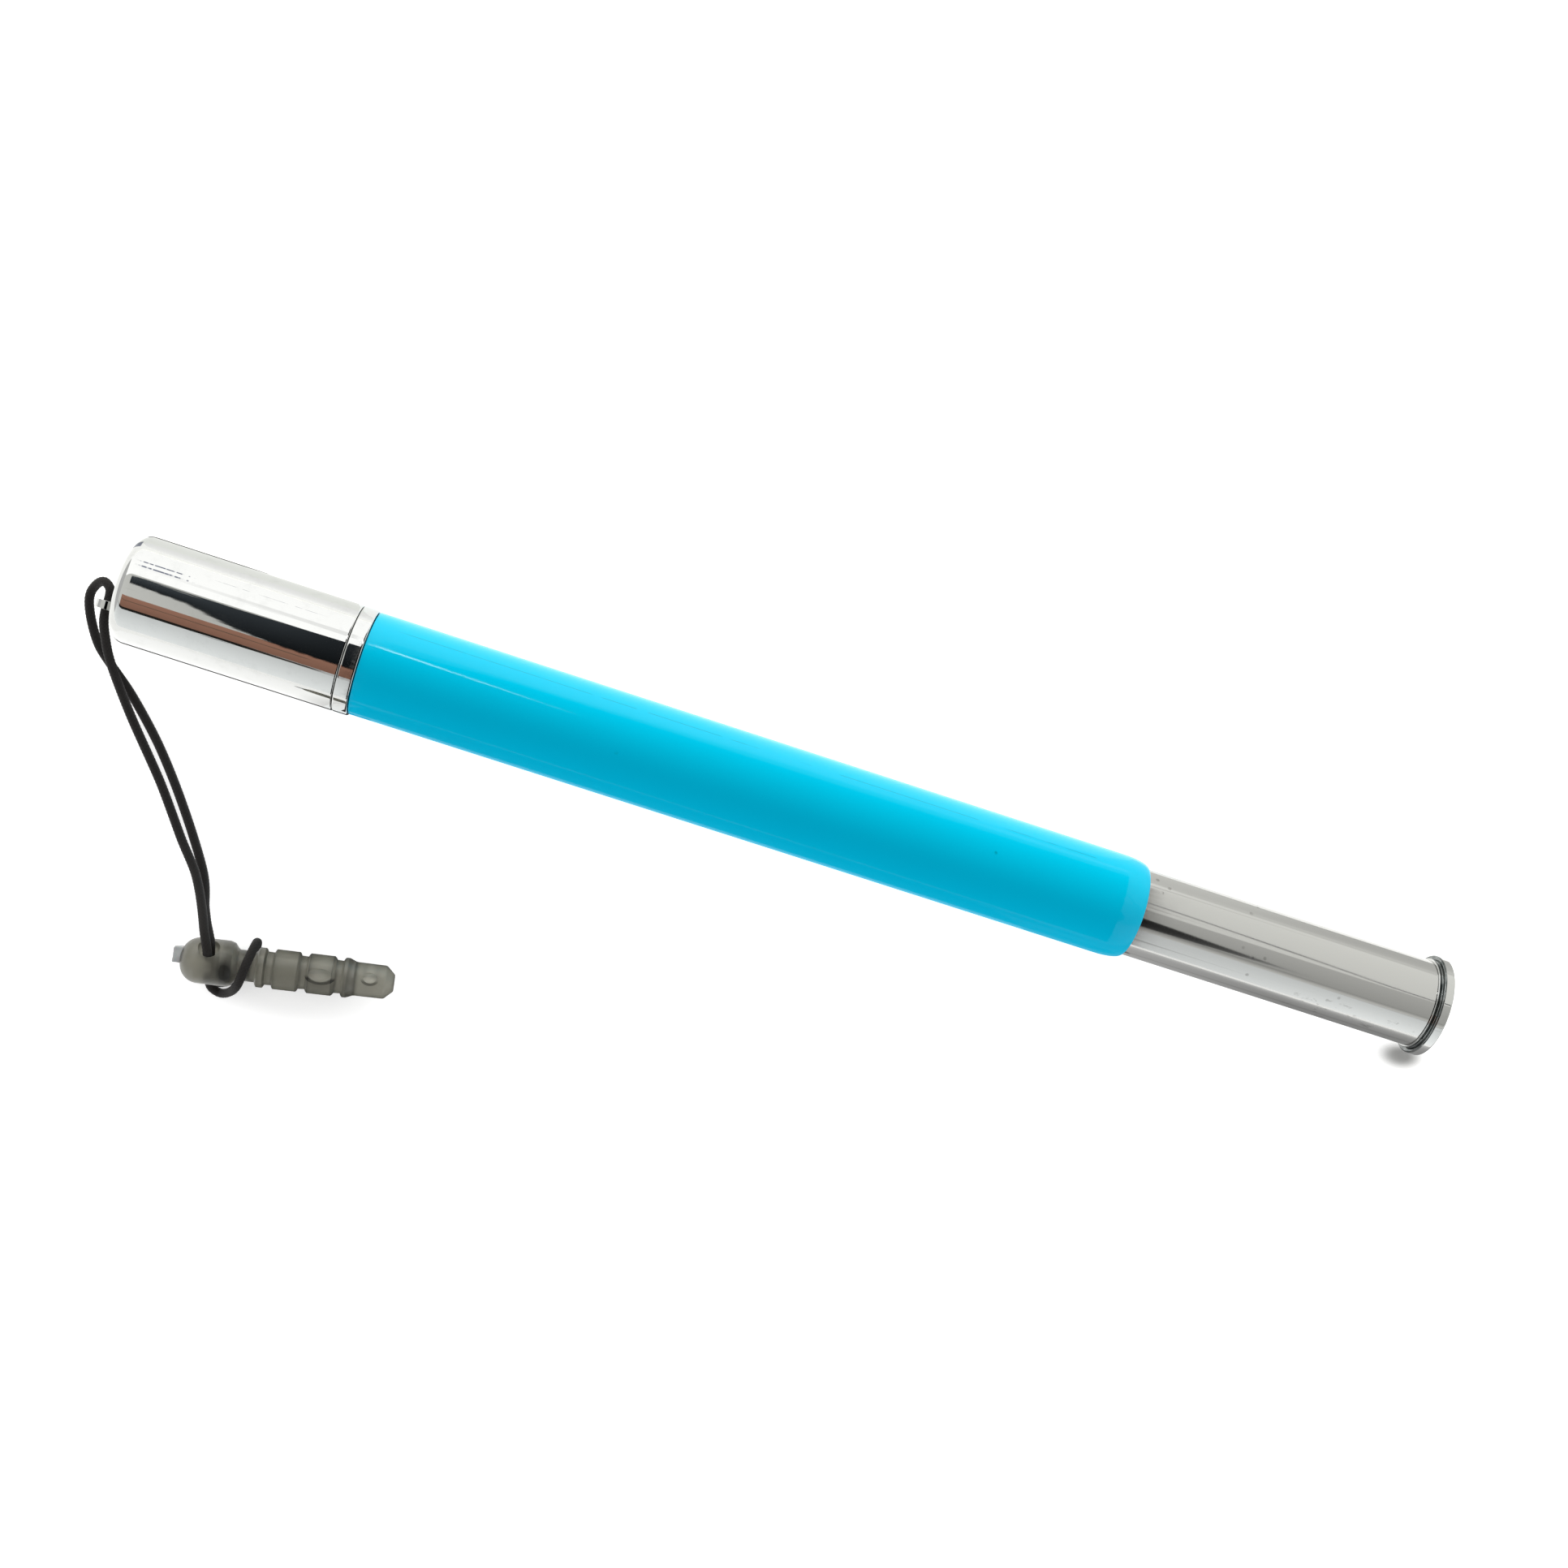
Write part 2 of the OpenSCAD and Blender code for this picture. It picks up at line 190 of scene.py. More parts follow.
def deselect():
    bpy.ops.object.select_all(action="DESELECT")


def select_only(piece):
    deselect()
    piece.select_set(True)
    bpy.context.view_layer.objects.active = piece


def arc(x, r, size_x, size_r, start, end, steps=8):
    """Points of an elliptic arc about (x, r): 0 degrees is towards +X and 90 is outwards."""
    turns = [math.radians(start + (end - start) * i / steps) for i in range(steps + 1)]
    return [(x + size_x * math.cos(a), r + size_r * math.sin(a)) for a in turns]


def with_supports(outline, gap=0.06 * MM):
    """The outline with a ring close to each end of its long stretches, so that they shade flat."""
    made = [outline[0]]
    for (x0, r0), (x1, r1) in zip(outline, outline[1:]):
        length = math.hypot(x1 - x0, r1 - r0)
        if length > 8 * gap:
            for k in (gap / length, 1 - gap / length):
                made.append((x0 + (x1 - x0) * k, r0 + (r1 - r0) * k))
        made.append((x1, r1))
    return made


def turn_on_lathe(name, outline, closed=False, sides=SIDES, axis=(0.0, AXIS_Z)):
    """A piece turned about a line along X. The outline is a row of (x, radius): an open one is a
    solid with a flat face at each end, and a closed one is the section of a tube."""
    y, z = axis
    outline = with_supports(outline)
    deselect()
    x, r = outline[0]
    bpy.ops.mesh.primitive_circle_add(vertices=sides, radius=r, fill_type="NOTHING",
                                      location=(x, y, z), rotation=(0, math.pi / 2, 0))
    piece = bpy.context.object
    piece.name = piece.data.name = name
    bpy.ops.object.transform_apply(location=True, rotation=True, scale=True)
    bpy.ops.object.mode_set(mode="EDIT")
    bpy.ops.mesh.select_all(action="SELECT")
    for next_x, next_r in outline[1:]:
        bpy.ops.mesh.extrude_region_move(TRANSFORM_OT_translate={"value": (next_x - x, 0, 0)})
        bpy.ops.transform.resize(value=(1, next_r / r, next_r / r), center_override=(next_x, y, z))
        x, r = next_x, next_r
    bpy.ops.mesh.select_all(action="DESELECT")
    bpy.ops.mesh.select_non_manifold()
    if closed:
        bpy.ops.mesh.bridge_edge_loops()
    else:
        bpy.ops.mesh.edge_face_add()
    bpy.ops.mesh.select_all(action="SELECT")
    bpy.ops.mesh.normals_make_consistent(inside=False)
    bpy.ops.object.mode_set(mode="OBJECT")
    shade(piece)
    return piece


def shade(piece, angle=32):
    select_only(piece)
    bpy.ops.object.shade_smooth_by_angle(angle=math.radians(angle))


def add_modifier(piece, kind, **settings):
    """Adds a modifier and applies it."""
    select_only(piece)
    modifier = piece.modifiers.new(kind.lower(), kind)
    for key, value in settings.items():
        setattr(modifier, key, value)
    bpy.ops.object.modifier_apply(modifier=modifier.name)


def cut(piece, cutter, operation="DIFFERENCE"):
    """Cuts one piece with another, or joins them, and removes the tool."""
    add_modifier(piece, "BOOLEAN", object=cutter, operation=operation, solver="EXACT")
    bpy.data.objects.remove(cutter)


# ---------------------------------------------------------------- pieces

def make_barrel():
    """Painted tube: a crisp edge at the collar, a long rounded nose and a narrowed mouth."""
    wall = 0.4 * MM
    nose = 2.2 * MM
    land = 2.0 * MM
    lip = 0.06 * MM
    edge = 0.1 * MM
    mouth_r = TUBE_R + 0.05 * MM
    bore_r = BARREL_R - wall
    outline = arc(BARREL_X0 + edge, BARREL_R - edge, edge, edge, 180, 90, 5)
    outline += [(BARREL_X0 + (BARREL_X1 - nose - BARREL_X0) * i / 12, BARREL_R) for i in range(1, 12)]
    outline += arc(BARREL_X1 - nose, mouth_r + lip, nose, BARREL_R - mouth_r - lip, 90, 0, 20)
    outline += arc(BARREL_X1 - lip, mouth_r + lip, lip, lip, -30, -90, 3)
    outline += [(BARREL_X1 - land, mouth_r), (BARREL_X1 - land, bore_r), (BARREL_X0, bore_r)]
    return turn_on_lathe("painted_barrel", outline, closed=True)


def make_collar():
    """Chromed collar between the cap and the barrel, with both its edges broken."""
    edge = 0.1 * MM
    outline = arc(RING_X0 + edge, RING_R - edge, edge, edge, 180, 90, 5)
    outline += arc(RING_X1 - edge, RING_R - edge, edge, edge, 90, 0, 5)
    outline += [(RING_X1, 3.67 * MM), (RING_X0, 3.67 * MM)]
    return turn_on_lathe("collar_ring", outline, closed=True)


def make_cap():
    """Chromed cap: a closed end with a round corner, a straight wall and a broken mouth edge."""
    corner = 1.2 * MM
    wall = 0.4 * MM
    floor = 0.6 * MM
    edge = 0.08 * MM
    hole_r = 0.52 * MM
    middle = 0.15 * MM
    outline = [(CAP_X0, middle), (CAP_X0, 1.0 * MM), (CAP_X0, 2.4 * MM)]
    outline += arc(CAP_X0 + corner, CAP_R - corner, corner, corner, 180, 90, 16)
    outline += [(CAP_X0 + corner + (CAP_X1 - CAP_X0 - corner) * i / 6, CAP_R) for i in range(1, 6)]
    outline += arc(CAP_X1 - edge, CAP_R - edge, edge, edge, 90, 0, 4)
    outline += [(CAP_X1, CAP_R - wall)]
    inner = corner - wall
    outline += arc(CAP_X0 + floor + inner, CAP_R - corner, inner, inner, 90, 180, 8)
    outline += [(CAP_X0 + floor, middle)]
    cap = turn_on_lathe("chrome_cap", outline)
    low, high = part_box("eyelet")
    deselect()
    bpy.ops.mesh.primitive_cylinder_add(vertices=32, radius=hole_r, depth=4 * floor,
                                        location=(CAP_X0, (low.y + high.y) / 2, AXIS_Z),
                                        rotation=(0, math.pi / 2, 0))
    cut(cap, bpy.context.object)
    shade(cap)
    return cap


def make_eyelet():
    """Pressed loop on the cap's end: a rounded ring on a flat tail, riveted inside the cap."""
    low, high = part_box("eyelet")
    y = (low.y + high.y) / 2
    outer_r = 0.9 * MM
    hole_r = 0.55 * MM
    thick = 0.7 * MM
    hole_x = low.x + outer_r
    deselect()
    bpy.ops.mesh.primitive_cylinder_add(vertices=48, radius=outer_r, depth=thick,
                                        location=(hole_x, y, AXIS_Z), rotation=(math.pi / 2, 0, 0))
    eyelet = bpy.context.object
    eyelet.name = eyelet.data.name = "cap_eyelet"
    bpy.ops.mesh.primitive_cube_add(size=1, location=((hole_x + CAP_X0) / 2 - 0.01 * MM, y, AXIS_Z))
    tail = bpy.context.object
    tail.scale = (CAP_X0 - hole_x - 0.02 * MM, thick, 1.5 * outer_r)
    cut(eyelet, tail, "UNION")
    bpy.ops.mesh.primitive_cylinder_add(vertices=48, radius=hole_r, depth=2 * thick,
                                        location=(hole_x, y, AXIS_Z), rotation=(math.pi / 2, 0, 0))
    cut(eyelet, bpy.context.object)
    select_only(eyelet)
    bpy.ops.object.transform_apply(location=True, rotation=True, scale=True)
    add_modifier(eyelet, "BEVEL", width=0.16 * MM, segments=4, limit_method="ANGLE",
                 angle_limit=math.radians(40))
    for x0, x1, r in ((-0.3, 1.0, 0.5), (0.95, 1.25, 0.8)):
        rivet = turn_on_lathe("rivet", [(CAP_X0 + x0 * MM, r * MM), (CAP_X0 + x1 * MM, r * MM)],
                              sides=32, axis=(y, AXIS_Z))
        cut(eyelet, rivet, "UNION")
    shade(eyelet, 40)
    return eyelet


def make_tube():
    """Nickel pull-out tube, with its inner end chamfered."""
    wall = 0.4 * MM
    chamfer = 0.2 * MM
    outline = [(TUBE_X0, TUBE_R - wall), (TUBE_X0, TUBE_R - chamfer), (TUBE_X0 + chamfer, TUBE_R)]
    outline += [(TUBE_X0 + (TUBE_X1 - TUBE_X0) * i / 8, TUBE_R) for i in range(1, 9)]
    outline += [(TUBE_X1, TUBE_R - wall)]
    return turn_on_lathe("pull_tube", outline, closed=True)


def make_tube_end():
    """Turned end of the tube: a plug inside it, a bead, a round cove and a thin flange."""
    bore_r = TUBE_R - 0.42 * MM
    shoulder = RIM_X1 - 1.3 * MM
    cove = 0.3 * MM
    edge = 0.15 * MM
    outline = [(RIM_X0, 0.2 * MM), (RIM_X0, bore_r - 0.2 * MM), (RIM_X0 + 0.2 * MM, bore_r),
               (shoulder, bore_r)]
    outline += arc(shoulder + 0.08 * MM, TUBE_R + 0.1 * MM, 0.08 * MM, 0.08 * MM, 180, 60, 8)
    outline += arc(shoulder + cove, TUBE_R + 0.2 * MM, 0.13 * MM, 0.15 * MM, 240, 330, 10)
    outline += arc(shoulder + cove + 0.2 * MM, RIM_R - edge, edge, edge, 180, 90, 8)
    outline += arc(RIM_X1 - edge, RIM_R - edge, edge, edge, 90, 20, 6)
    outline += [(RIM_X1 - 0.02 * MM, RIM_R - 0.6 * MM), (RIM_X1, RIM_R - 1.4 * MM), (RIM_X1, 0.2 * MM)]
    return turn_on_lathe("tube_end", outline, sides=256)


def make_tip():
    """Soft domed tip, hollow, with a moulding line round its foot."""
    wall = 0.7 * MM
    foot = TIP_X1
    dome_x = TIP_X0 + TIP_R
    groove = 0.06 * MM
    outline = arc(dome_x, 0, TIP_R, TIP_R, 178, 90, 26)
    outline += [(foot - 0.75 * MM, TIP_R), (foot - 0.7 * MM, TIP_R - groove),
                (foot - 0.6 * MM, TIP_R - groove), (foot - 0.55 * MM, TIP_R),
                (foot - 0.1 * MM, TIP_R), (foot, TIP_R - 0.1 * MM), (foot, 2.25 * MM),
                (foot - 0.4 * MM, TIP_R - wall)]
    outline += arc(dome_x, 0, TIP_R - wall, TIP_R - wall, 90, 178, 16)
    return turn_on_lathe("soft_tip", outline)


def plug_frame():
    """Places the socket plug: its own X runs along the shaft from the middle of the cross hole."""
    mount = next(m for m in frame["record"]["mounts"] if m["name"] == "jack_shaft")
    along = Vector(mount["axis"]).normalized()
    hole = Vector(mount["pos_m"]) - 6.45 * MM * along
    flat = Vector((-along.y, along.x, 0)).normalized()
    turn = Matrix((along, flat, along.cross(flat))).transposed().to_4x4()
    return Matrix.Translation(hole) @ turn


def make_plug():
    """Moulded socket plug: a domed head with a cross hole, a neck, and a ringed shaft."""
    outline = arc(-0.75 * MM, 0.35 * MM, 1.6 * MM, 1.6 * MM, 176, 90, 14)
    neck = ((1.6, 1.95), (2.0, 1.82), (2.25, 1.5), (2.45, 1.32), (3.9, 1.32))
    narrow_ring = ((4.03, 1.6), (4.12, 1.7), (4.6, 1.7), (4.68, 1.62), (4.78, 1.42))
    inner_ring = ((5.34, 1.4), (5.42, 1.6), (5.5, 1.7), (7.42, 1.7), (7.5, 1.62), (7.6, 1.42))
    outer_ring = ((8.15, 1.4), (8.25, 1.6), (8.36, 1.7), (10.36, 1.7), (10.45, 1.62), (10.6, 1.42))
    collar = ((11.12, 1.4), (11.22, 1.6), (11.32, 1.7), (11.62, 1.7), (12.2, 1.46), (12.4, 1.44))
    point = ((14.7, 1.43), (14.85, 1.38), (15.45, 0.82), (15.55, 0.7))
    for x, r in neck + narrow_ring + inner_ring + outer_ring + collar + point:
        outline.append((x * MM, r * MM))
    plug = turn_on_lathe("socket_plug", outline, sides=96, axis=(0.0, 0.0))
    deselect()
    bpy.ops.mesh.primitive_cylinder_add(vertices=48, radius=0.9 * MM, depth=8 * MM,
                                        rotation=(-math.pi / 4, 0, 0))
    cut(plug, bpy.context.object)
    pin_marks = ((9.35, 0.10, 1.46, 1.15, 0.62, 0.46), (13.5, 0.32, 1.20, 0.68, 0.48, 0.40))
    for x, y, z, long, wide, tall in pin_marks:
        deselect()
        bpy.ops.mesh.primitive_uv_sphere_add(segments=40, ring_count=20, radius=MM,
                                             location=(x * MM, y * MM, z * MM))
        bpy.context.object.scale = (long, wide, tall)
        cut(plug, bpy.context.object, "UNION")
    select_only(plug)
    plug.data.transform(plug_frame())
    shade(plug, 35)
    return plug


def make_gate_stub():
    """Torn stub of the moulding gate on the plug's domed end."""
    deselect()
    bpy.ops.mesh.primitive_cube_add(size=1, location=(-2.4 * MM, 0.3 * MM, 0))
    stub = bpy.context.object
    stub.name = stub.data.name = "gate_stub"
    stub.scale = (1.2 * MM, 1.4 * MM, MM)
    bpy.ops.object.transform_apply(location=True, rotation=True, scale=True)
    bpy.ops.object.mode_set(mode="EDIT")
    bpy.ops.mesh.select_all(action="SELECT")
    bpy.ops.mesh.subdivide(number_cuts=3)
    bpy.ops.transform.vertex_random(offset=0.12 * MM, seed=4)
    bpy.ops.object.mode_set(mode="OBJECT")
    add_modifier(stub, "SUBSURF", levels=2, render_levels=2)
    stub.data.transform(plug_frame())
    shade(stub, 60)
    return stub


# ---------------------------------------------------------------- shader helpers

class Signal:
    """An output of a shader node. Arithmetic on it adds Math nodes to the same material."""

    def __init__(self, socket):
        self.socket = socket

    def node(self, kind, settings=None, sockets=None, out=0):
        """Adds any other node: first its settings, then the values or links of its sockets."""
        tree = self.socket.id_data
        made = tree.nodes.new("ShaderNode" + kind)
        for key, value in (settings or {}).items():
            setattr(made, key, value)
        for key, value in (sockets or {}).items():
            if isinstance(value, Signal):
                tree.links.new(value.socket, made.inputs[key])
            else:
                made.inputs[key].default_value = value
        return Signal(made.outputs[out])

    def math(self, operation, *values):
        return self.node("Math", {"operation": operation}, dict(enumerate(values)))

    def __add__(self, other):
        return self.math("ADD", self, other)

    __radd__ = __add__

    def __sub__(self, other):
        return self.math("SUBTRACT", self, other)

    def __rsub__(self, other):
        return self.math("SUBTRACT", other, self)

    def __mul__(self, other):
        return self.math("MULTIPLY", self, other)

    __rmul__ = __mul__

    def part(self, axis):
        return self.node("SeparateXYZ", {}, {"Vector": self}, out=axis)

    def above(self, low, high):
        """0 at low, 1 at high, smooth between and level beyond. Low may be the larger one."""
        return self.node("MapRange", {"interpolation_type": "SMOOTHSTEP"},
                         {"Value": self, "From Min": low, "From Max": high})

    def stretched(self, x, y, z):
        """These coordinates scaled along each axis, in cycles per metre."""
        return self.node("Mapping", {}, {"Vector": self, "Scale": (x, y, z)})

    def noise(self, scale=1.0, detail=3.0, rough=0.55):
        return self.node("TexNoise", {}, {"Vector": self, "Scale": scale, "Detail": detail,
                                          "Roughness": rough})

    def cells(self, scale):
        return self.node("TexVoronoi", {}, {"Vector": self, "Scale": scale})

    def blend(self, first, second):
        """A colour that goes from the first to the second as this value goes from 0 to 1."""
        pair = {6: first, 7: second}
        made = {key: value if isinstance(value, Signal) else (*value, 1)
                for key, value in pair.items()}
        return self.node("Mix", {"data_type": "RGBA"}, {0: self, **made}, out=2)

    def bump(self, strength, distance):
        """A normal with this height, where a height of 1 is the distance in metres."""
        return self.node("Bump", {}, {"Height": self, "Strength": strength, "Distance": distance})


def start_material(name):
    """A new material, its surface shader and its Object coordinates."""
    material = bpy.data.materials.new(name)
    material.use_nodes = True
    nodes = material.node_tree.nodes
    surface = nodes["Principled BSDF"]
    place = Signal(nodes.new("ShaderNodeTexCoord").outputs["Object"])
    return material, surface, place


def set_surface(surface, **values):
    """Sets the shader's sockets, named with _ for a space, to values or links."""
    for key, value in values.items():
        socket = surface.inputs[key.replace("_", " ")]
        if isinstance(value, Signal):
            surface.id_data.links.new(value.socket, socket)
        else:
            socket.default_value = value


# ---------------------------------------------------------------- materials

def turn_angle(place):
    """How far round the pen's axis a point is: 0 on top, in radians, plus towards +Y."""
    return place.math("ARCTAN2", place.part(Y), place.part(Z) - AXIS_Z)


def away(place, middle, turn, size):
    """How far a point is from the middle of an oval, seen along Z: 1 is on its edge. Its middle and
    half sizes are in mm, and it is turned about Z."""
    spot = place.node("Mapping", {"vector_type": "TEXTURE"},
                      {"Vector": place, "Location": tuple(MM * m for m in middle),
                       "Rotation": (0, 0, turn), "Scale": (size[0] * MM, size[1] * MM, 1)})
    return spot.node("VectorMath", {"operation": "LENGTH"}, {0: spot}, out=1)


def near(value, middle, half):
    """1 within half of the middle and 0 beyond it, with a soft edge."""
    off = value - middle
    return 1 - off.math("ABSOLUTE", off).above(half * 0.7, half)


def blue_paint():
    """Sprayed cyan lacquer: faint orange peel, lengthwise rub marks, a hairline and specks of dirt."""
    material, surface, place = start_material("blue_lacquer")
    angle = turn_angle(place)
    peel = place.noise(900, 2)
    lengthwise_marks = place.stretched(60, 2600, 2600).noise(1, 4, 0.6)
    speck = 1 - place.cells(420).above(0.05, 0.11)
    rare = place.noise(260, 1).above(0.60, 0.68)
    broken = place.stretched(230, 40, 40).noise(1, 2).above(0.42, 0.5)
    hairline = near(angle, 0.85, 0.006) * broken
    mottle = place.noise(120, 3)
    body = mottle.blend((0.0, 0.53, 0.81), (0.0, 0.55, 0.84))
    colour = (speck * rare * 0.7 + hairline * 0.55).blend(body, (0.0, 0.10, 0.15))
    height = peel * 0.5 + lengthwise_marks.above(0.62, 0.8) * -0.35 - hairline
    set_surface(surface, Base_Color=colour, Metallic=0.07, Roughness=0.42,
                Specular_IOR_Level=0.0,
                Coat_Weight=0.3 + angle.above(-0.9, -0.2) * 0.7, Coat_Roughness=0.06, Coat_IOR=1.3,
                Normal=height.bump(0.10, FINE_RELIEF))
    return material


def polished_chrome(name="polished_chrome", painted_shade_x=None):
    """Bright plating over lengthwise polish lines, with a few scratches and a fine bloom. Painted
    shade can lie in a line round the piece, at a place along X."""
    material, surface, place = start_material(name)
    tint = (0.60, 0.605, 0.59)
    angle = turn_angle(place)
    lines = place.stretched(25, 3000, 3000).noise(1, 5, 0.65)
    scratch = place.stretched(90, 5200, 5200).noise(1, 1).above(0.72, 0.78)
    bloom = place.noise(700, 4, 0.7)
    haze = bloom.above(0.5, 0.72)
    broken = place.stretched(900, 60, 60).noise(1, 3, 0.7).above(0.40, 0.52)
    end = near(place.part(X), CAP_X0 + 3.6 * MM, 2.6 * MM)
    # Painted reflections: two broken dark lines along the cap near its closed end, at fixed turns round
    # it.
    lengthwise_marks = (near(angle, 0.44, 0.016) + near(angle, 0.53, 0.013)) * broken * end
    colour = (haze * 0.3 + scratch * 0.4).blend(tint, tuple(0.82 * t for t in tint))
    # A painted reflection: one more thin dark line further along the cap.
    long = near(angle, 0.62, 0.005) * near(place.part(X), CAP_X0 + 12 * MM, 5 * MM) * broken
    # A dark mark painted on the rim of the cap's closed end.
    rim_mark = near(angle, 0.95, 0.10) * near(place.part(X), CAP_X0 + 0.45 * MM, 0.42 * MM)
    colour = (lengthwise_marks * 0.9 + long * 0.45 + rim_mark * 0.95).blend(colour, (0.05, 0.06, 0.10))
    # Painted shade: a darker line round the piece, darker in patches.
    if painted_shade_x is not None:
        painted_shade = near(place.part(X), painted_shade_x, 0.27 * MM) * (0.15 + bloom * 1.1)
        colour = painted_shade.blend(colour, (0.05, 0.065, 0.065))
    height = lines * 0.6 - scratch * 0.5
    set_surface(surface, Base_Color=colour, Metallic=1.0,
                Roughness=0.03 + haze * 0.03 + scratch * 0.12,
                Normal=height.bump(0.08, FINE_RELIEF))
    return material


def worn_nickel():
    """Duller plating of the sliding tube: drawing lines, rub marks and small dark pits."""
    material, surface, place = start_material("worn_nickel")
    lines = place.stretched(22, 2400, 2400).noise(1, 5, 0.7)
    streak = place.stretched(12, 1500, 1500).noise(1, 2).above(0.60, 0.72)
    pits = 1 - place.cells(900).above(0.10, 0.22)
    here = place.noise(320, 2).above(0.52, 0.66)
    bloom = place.noise(500, 4, 0.7)
    angle = turn_angle(place)
    low = near(angle, -1.0, 0.5) * near(place.part(X), TUBE_X1 - 4 * MM, 9 * MM)
    dark_patch = place.stretched(420, 900, 900).noise(1, 4, 0.75).above(0.56, 0.66) * low
    marks = streak * 0.25 + pits * here * 0.55 + dark_patch * 0.6
    colour = marks.blend((0.56, 0.56, 0.545), (0.22, 0.215, 0.20))
    height = lines * 0.7 - pits * here
    set_surface(surface, Base_Color=colour, Metallic=1.0,
                Roughness=0.05 + bloom * 0.06 + streak * 0.06 + dark_patch * 0.15,
                Normal=height.bump(0.09, FINE_RELIEF))
    return material


def turned_metal(name, tint, rough):
    """Plain turned metal: fine tool rings across the axis and a little dulling."""
    material, surface, place = start_material(name)
    ring_step = 0.12 * MM
    rings = place.stretched(1 / ring_step, 60, 60).noise(1, 2)
    dull = place.noise(400, 4, 0.7)
    colour = dull.above(0.4, 0.75).blend(tint, tuple(0.72 * t for t in tint))
    set_surface(surface, Base_Color=colour, Metallic=1.0, Roughness=rough + dull * 0.12,
                Normal=rings.bump(0.25, FINE_RELIEF))
    return material


def moulded_nylon():
    """Off-white nylon with a slight satin grain."""
    material, surface, place = start_material("moulded_nylon")
    grain = place.noise(1800, 3)
    tone = place.noise(150, 2)
    set_surface(surface, Base_Color=tone.blend((0.78, 0.76, 0.68), (0.86, 0.85, 0.79)),
                Roughness=0.42 + grain * 0.15, Subsurface_Weight=0.15, Subsurface_Scale=0.5 * MM,
                Normal=grain.bump(0.2, FINE_RELIEF))
    return material


def soft_rubber():
    """Black conductive rubber: fine matt grain with pale rubbed dust."""
    material, surface, place = start_material("soft_rubber")
    grain = place.noise(3500, 4, 0.7)
    dust = place.noise(420, 4, 0.7).above(0.55, 0.8)
    set_surface(surface, Base_Color=(dust * 0.5).blend((0.018, 0.018, 0.019), (0.09, 0.088, 0.085)),
                Roughness=0.62 + grain * 0.2, Specular_IOR_Level=0.35,
                Normal=grain.bump(0.35, FINE_RELIEF))
    return material


def smoky_plastic():
    """Smoky see-through plastic: cloudy inside, with a faint moulded grain. It has painted shade round
    the cord's cross hole, at the grooves and under the pin marks, and painted light in the point and
    pin marks."""
    material, surface, place = start_material("smoky_plastic")
    cloud = place.noise(420, 3, 0.6)
    grain = place.noise(2600, 3)
    seat = plug_frame()
    shaft = place.node("Mapping", {"vector_type": "TEXTURE"},
                       {"Vector": place, "Location": seat.translation, "Rotation": seat.to_euler()})
    x, y = shaft.part(X), shaft.part(Y)
    # Painted shade in the head, round the cross hole that the cord runs through.
    dark = (away(shaft, (1.55, -0.55, 0), 0, (0.9, 1.2)).above(1.1, 0.3) * 0.55
            + away(shaft, (0.9, -0.75, 0), 0, (1.9, 1.5)).above(1.1, 0.4) * 0.35)
    # Painted shade in rings: under the cord's loop at the neck and in the grooves of the shaft.
    for middle, half, depth in ((1.7, 0.7, 0.25), (5.4, 0.16, 0.35), (7.5, 0.16, 0.45),
                                (8.3, 0.16, 0.3), (10.45, 0.2, 0.45), (11.95, 0.45, 0.5)):
        dark = dark + near(x, middle * MM, half * MM) * depth
    # Painted light: the thin point is paler.
    pale = x.above(12.3 * MM, 12.7 * MM) * 0.16
    # Each pin mark gets a painted highlight on its crown and painted shade along its lower edge.
    for mark_x, mark_y, size in ((9.35, 0.1, (0.95, 0.55)), (13.5, 0.3, (0.55, 0.42))):
        off = away(shaft, (mark_x, mark_y, 0), 0, size)
        low_side = y.above(mark_y * MM, (mark_y - 0.35) * MM)
        pale = pale + off.above(1.0, 0.2) * 0.6
        dark = dark + near(off, 1.15, 0.3) * low_side * 0.75
    colour = cloud.blend((0.185, 0.18, 0.148), (0.335, 0.325, 0.27))
    colour = pale.blend(colour, (0.62, 0.61, 0.53))
    colour = dark.blend(colour, (0.02, 0.02, 0.018))
    set_surface(surface, Base_Color=colour, Roughness=0.30 + grain * 0.12, IOR=1.45,
                Transmission_Weight=0.8, Normal=grain.bump(0.15, FINE_RELIEF))
    return material


def frosted_stub():
    """Stress-whitened plastic of the torn gate."""
    material, surface, place = start_material("stress_whitened_plastic")
    grain = place.noise(1500, 4, 0.7)
    set_surface(surface, Base_Color=grain.blend((0.30, 0.31, 0.32), (0.62, 0.64, 0.66)),
                Roughness=0.45, Subsurface_Weight=0.2, Subsurface_Scale=0.3 * MM,
                Normal=grain.bump(0.4, 0.05 * MM))
    return material


def braid():
    """Black plaited yarn: fibres along each strand, and painted shade that darkens the valleys between
    strands.
    """
    material, surface, place = start_material("black_braid")
    weave = place.node("Attribute", {"attribute_name": "weave"}, out=1)
    fibre = weave.stretched(40, 9, 0).noise(1, 3, 0.7)
    # Painted shade: the colour is darker where the plait's relief is low.
    colour = (weave.part(Z) * 0.6 + fibre * 0.4).blend((0.003, 0.003, 0.003), (0.020, 0.017, 0.016))
    set_surface(surface, Base_Color=colour, Roughness=0.72, Specular_IOR_Level=0.3,
                Sheen_Weight=0.08, Sheen_Roughness=0.4,
                Normal=fibre.bump(0.5, 0.03 * MM))
    return material


# ---------------------------------------------------------------- studio

def glow(name, colour):
    """A shining material for a studio card, whose brightness comes from its corners."""
    material = bpy.data.materials.new(name)
    material.use_nodes = True
    nodes = material.node_tree.nodes
    nodes.remove(nodes["Principled BSDF"])
    emission = nodes.new("ShaderNodeEmission")
    emission.inputs["Color"].default_value = (*colour, 1)
    light = nodes.new("ShaderNodeAttribute")
    light.attribute_name = "light"
    material.node_tree.links.new(light.outputs["Fac"], emission.inputs["Strength"])
    material.node_tree.links.new(emission.outputs[0], nodes["Material Output"].inputs[0])
    return material


